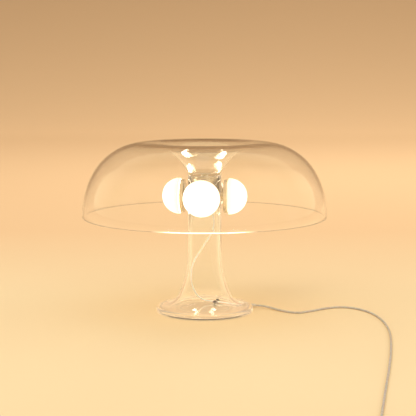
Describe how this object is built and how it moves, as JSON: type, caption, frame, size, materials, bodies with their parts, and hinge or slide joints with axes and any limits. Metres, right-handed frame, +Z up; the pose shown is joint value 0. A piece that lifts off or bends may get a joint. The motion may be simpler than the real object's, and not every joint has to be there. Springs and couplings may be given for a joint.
{
  "type": "mushroom table lamp",
  "caption": "Clear mushroom table lamp: a wide clear shade with a funnel top on a clear trumpet stem, opal half-globe lights on a cross, a thin lead with a switch and a plug-in supply.",
  "frame": {"origin": "on the stem's axis, on the surface that the foot stands on", "axes": "+Z up along the stem, front of the lamp along -Y, lead leaves on the +X side"},
  "size_m": [0.3877, 0.7853, 0.2232],
  "materials": {
    "clear_acrylic": "polished, clear, injection moulded",
    "clear_clamp": "clear moulded",
    "dark_screw": "black oxide",
    "pale_lead": "satin, translucent pale grey sheath",
    "polished_metal": "polished",
    "soft_washer": "matt",
    "circuit_board": "solder resist",
    "board_aluminium": "white solder resist on aluminium",
    "steel_screw": "zinc plated",
    "wire_insulation": "satin",
    "opal_diffuser": "opal, lit from inside",
    "switch_plastic": "fine moulded grain",
    "button_plastic": "gloss moulded",
    "contact_plastic": "moulded",
    "soft_boot": "matt moulded",
    "supply_plastic": "fine moulded grain",
    "plug_metal": "nickel plated"
  },
  "bodies": {
    "root": {"stem_base": "clear_acrylic", "base_plate": "clear_acrylic", "cord_clamp": "clear_clamp", "clamp_screws": "dark_screw", "cord_sleeve": "pale_lead", "shade_washer": "soft_washer", "light_hub": "polished_metal", "hub_cover": "polished_metal", "lead_grommet": "soft_washer", "distribution_board": "circuit_board", "board_screws": "steel_screw", "light_wires": "wire_insulation", "inner_lead": "pale_lead", "cord_run": "pale_lead", "cord_link": "pale_lead", "cord_coil": "pale_lead", "cord_tail": "pale_lead", "switch_lower": "switch_plastic", "switch_upper": "switch_plastic", "button_spring": "steel_screw", "contact_block": "contact_plastic", "switch_boots": "soft_boot", "switch_screws": "steel_screw", "supply_housing": "supply_plastic", "supply_cover": "supply_plastic", "supply_board": "circuit_board", "supply_boot": "soft_boot", "plug_pins": "plug_metal", "light_cup_right": "polished_metal", "led_board_right": "board_aluminium", "light_cup_back": "polished_metal", "led_board_back": "board_aluminium", "light_cup_left": "polished_metal", "led_board_left": "board_aluminium", "light_cup_front": "polished_metal", "led_board_front": "board_aluminium"},
    "shade": {"shade": "clear_acrylic"},
    "retaining_screw": {"retaining_screw": "polished_metal"},
    "switch_button": {"switch_button": "button_plastic"},
    "opal_dome_right": {"opal_dome_right": "opal_diffuser"},
    "opal_dome_back": {"opal_dome_back": "opal_diffuser"},
    "opal_dome_left": {"opal_dome_left": "opal_diffuser"},
    "opal_dome_front": {"opal_dome_front": "opal_diffuser"}
  },
  "joints": [
    {"name": "shade_lift", "type": "slide", "parent": "root", "child": "shade", "axis": [0, 0, 1], "range_m": [0, 0.06]},
    {"name": "retaining_screw_undo", "type": "slide", "parent": "shade", "child": "retaining_screw", "axis": [0, 0, 1], "range_m": [0, 0.014]},
    {"name": "dome_right_pull", "type": "slide", "parent": "root", "child": "opal_dome_right", "axis": [0.9925, -0.1219, 0], "range_m": [0, 0.02]},
    {"name": "dome_back_pull", "type": "slide", "parent": "root", "child": "opal_dome_back", "axis": [0.1219, 0.9925, 0], "range_m": [0, 0.02]},
    {"name": "dome_left_pull", "type": "slide", "parent": "root", "child": "opal_dome_left", "axis": [-0.9925, 0.1219, 0], "range_m": [0, 0.02]},
    {"name": "dome_front_pull", "type": "slide", "parent": "root", "child": "opal_dome_front", "axis": [-0.1219, -0.9925, 0], "range_m": [0, 0.02]},
    {"name": "button_press", "type": "slide", "parent": "root", "child": "switch_button", "axis": [0, 0, -1], "range_m": [0, 0.0015], "stiffness_N_per_m": 400, "springref_m": -0.001, "deforming": ["button_spring"]}
  ]
}
